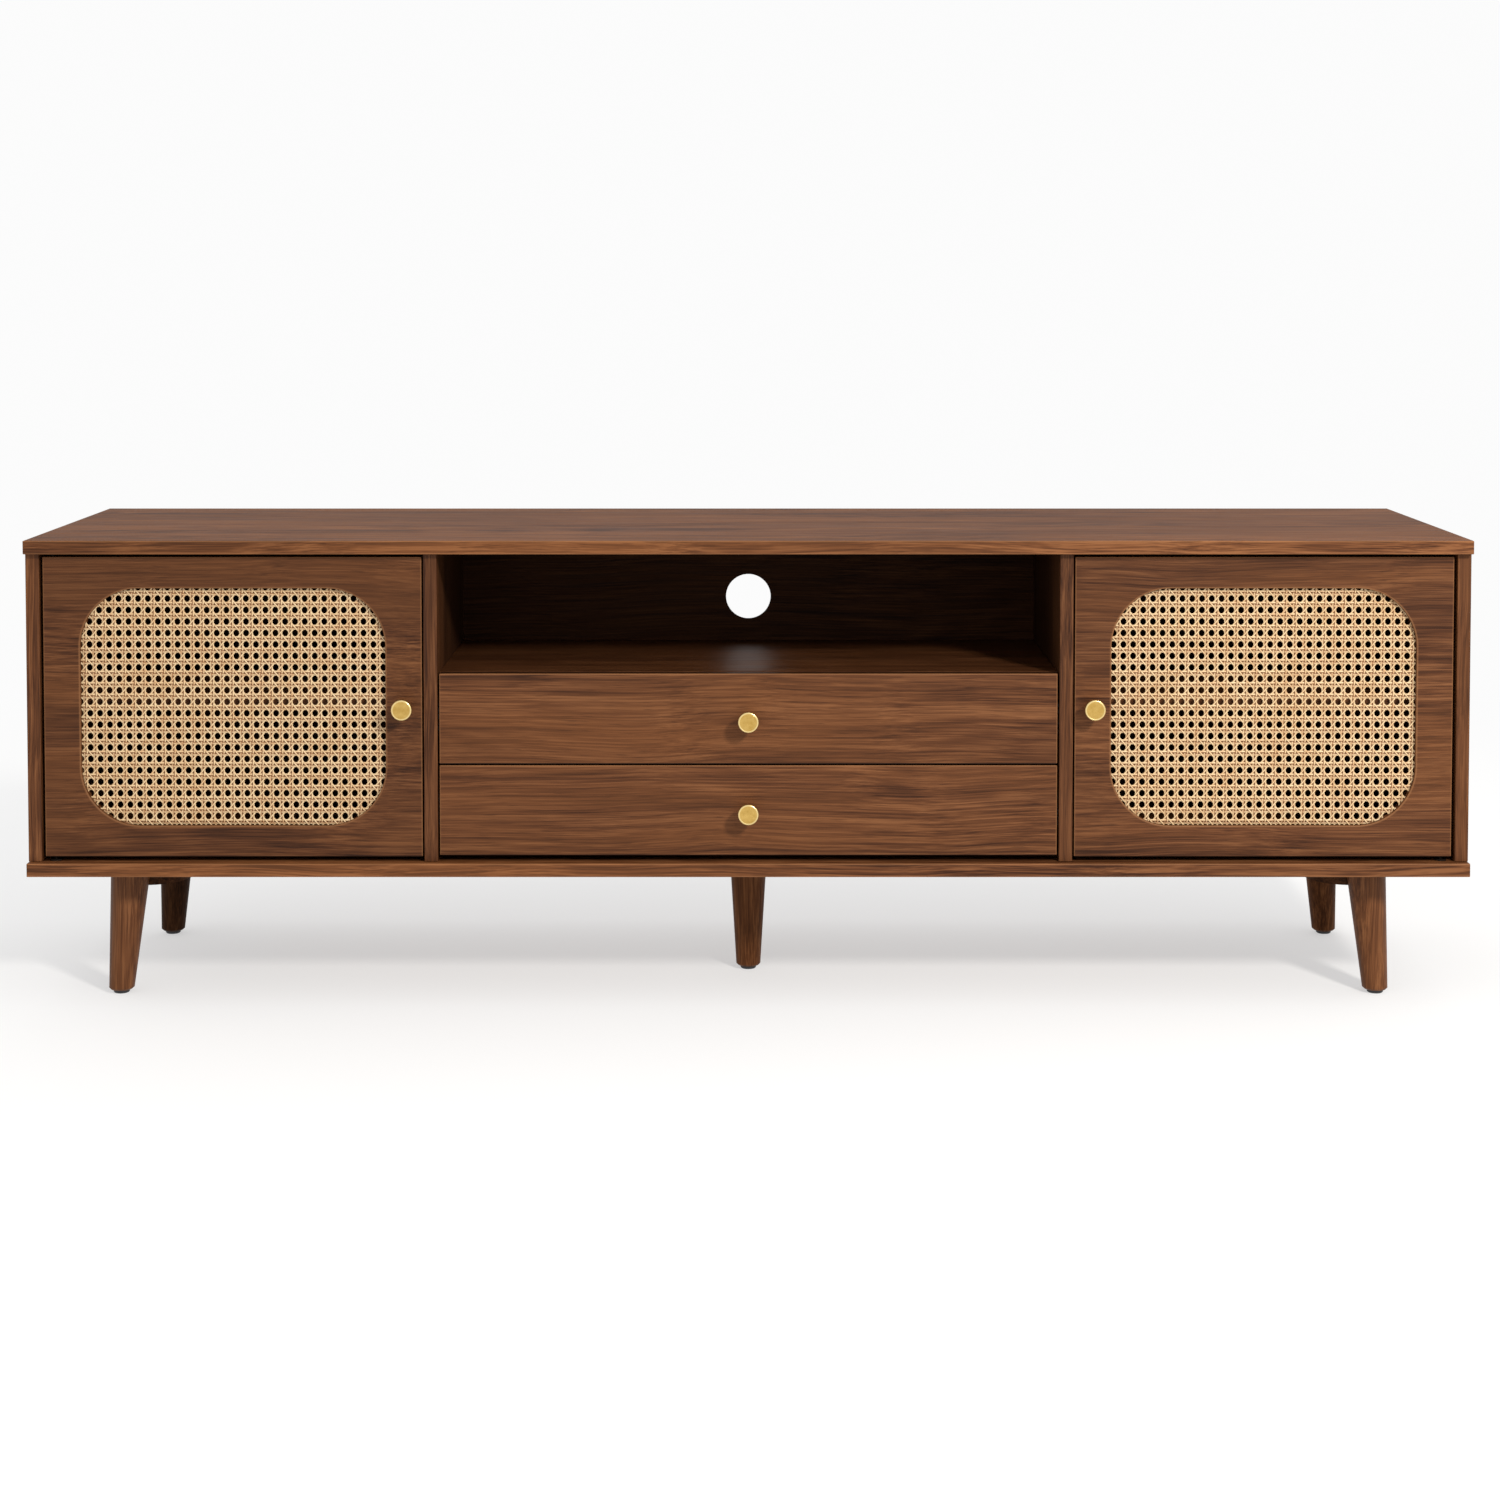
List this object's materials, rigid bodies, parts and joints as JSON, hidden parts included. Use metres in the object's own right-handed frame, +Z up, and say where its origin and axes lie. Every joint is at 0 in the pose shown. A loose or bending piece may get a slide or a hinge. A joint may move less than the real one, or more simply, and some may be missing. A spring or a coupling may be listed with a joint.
{
  "type": "media cabinet",
  "caption": "Low walnut-look media cabinet on splayed tapered legs, with an open shelf bay over stacked drawers and a cane-fronted door at each side.",
  "frame": {"origin": "on the floor, at the bottom centre of the box that holds the whole cabinet, knobs included", "axes": "+X along the cabinet to the right, -Y out of the front, +Z up"},
  "size_m": [1.6, 0.413, 0.52],
  "materials": {
    "walnut_board": "satin wood-grain foil",
    "leg_wood": "satin stained solid wood",
    "back_board": "thin printed fibreboard",
    "drawer_board": "matte wrapped board",
    "cane": "natural woven cane",
    "brass": "brushed",
    "steel": "zinc plated",
    "slide_steel": "zinc plated rolled sheet",
    "zinc": "cast zinc",
    "black_plastic": "matte"
  },
  "bodies": {
    "root": {"bottom_panel": "walnut_board", "cam_bolts": "steel", "cam_locks": "zinc", "centre_back_panel": "back_board", "centre_leg": "leg_wood", "centre_shelf": "walnut_board", "front_left_leg": "leg_wood", "front_right_leg": "leg_wood", "hinge_bushes": "black_plastic", "left_adjustable_shelf": "walnut_board", "left_back_panel": "back_board", "left_divider": "walnut_board", "left_end_panel": "walnut_board", "left_leg_cleat": "leg_wood", "leg_bolts": "steel", "leg_glides": "black_plastic", "magnetic_catches": "black_plastic", "rear_left_leg": "leg_wood", "rear_right_leg": "leg_wood", "right_adjustable_shelf": "walnut_board", "right_back_panel": "back_board", "right_divider": "walnut_board", "right_end_panel": "walnut_board", "right_leg_cleat": "leg_wood", "shelf_pins": "zinc", "slide_outer_members": "slide_steel", "top_panel": "walnut_board"},
    "left_door": {"left_cane_panel": "cane", "left_cane_retainer": "walnut_board", "left_door_knob": "brass", "left_door_knob_screw": "steel", "left_door_panel": "walnut_board", "left_hinge_pins": "steel", "left_strike_plate": "steel"},
    "right_door": {"right_cane_panel": "cane", "right_cane_retainer": "walnut_board", "right_door_knob": "brass", "right_door_knob_screw": "steel", "right_door_panel": "walnut_board", "right_hinge_pins": "steel", "right_strike_plate": "steel"},
    "upper_drawer": {"upper_drawer_back": "drawer_board", "upper_drawer_bottom": "drawer_board", "upper_drawer_front": "walnut_board", "upper_drawer_knob": "brass", "upper_drawer_knob_screw": "steel", "upper_drawer_left_side": "drawer_board", "upper_drawer_right_side": "drawer_board", "upper_slide_inner_members": "slide_steel"},
    "lower_drawer": {"lower_drawer_back": "drawer_board", "lower_drawer_bottom": "drawer_board", "lower_drawer_front": "walnut_board", "lower_drawer_knob": "brass", "lower_drawer_knob_screw": "steel", "lower_drawer_left_side": "drawer_board", "lower_drawer_right_side": "drawer_board", "lower_slide_inner_members": "slide_steel"},
    "upper_slide": {"upper_slide_middle_members": "slide_steel"},
    "lower_slide": {"lower_slide_middle_members": "slide_steel"}
  },
  "joints": [
    {"name": "left_door_hinge", "type": "hinge", "parent": "root", "child": "left_door", "pos_m": [-0.7715, -0.174, 0.3335], "axis": [0, 0, -1], "range_deg": [0, 105]},
    {"name": "right_door_hinge", "type": "hinge", "parent": "root", "child": "right_door", "pos_m": [0.7715, -0.174, 0.3335], "axis": [0, 0, 1], "range_deg": [0, 105]},
    {"name": "upper_drawer_slide", "type": "slide", "parent": "root", "child": "upper_drawer", "axis": [0, -1, 0], "range_m": [0, 0.22]},
    {"name": "lower_drawer_slide", "type": "slide", "parent": "root", "child": "lower_drawer", "axis": [0, -1, 0], "range_m": [0, 0.22]},
    {"name": "upper_middle_slide", "type": "slide", "parent": "root", "child": "upper_slide", "axis": [0, -1, 0], "range_m": [0, 0.11]},
    {"name": "lower_middle_slide", "type": "slide", "parent": "root", "child": "lower_slide", "axis": [0, -1, 0], "range_m": [0, 0.11]}
  ],
  "couplings": [
    {"joint": "upper_middle_slide", "follows": "upper_drawer_slide", "ratio": 0.5},
    {"joint": "lower_middle_slide", "follows": "lower_drawer_slide", "ratio": 0.5}
  ]
}
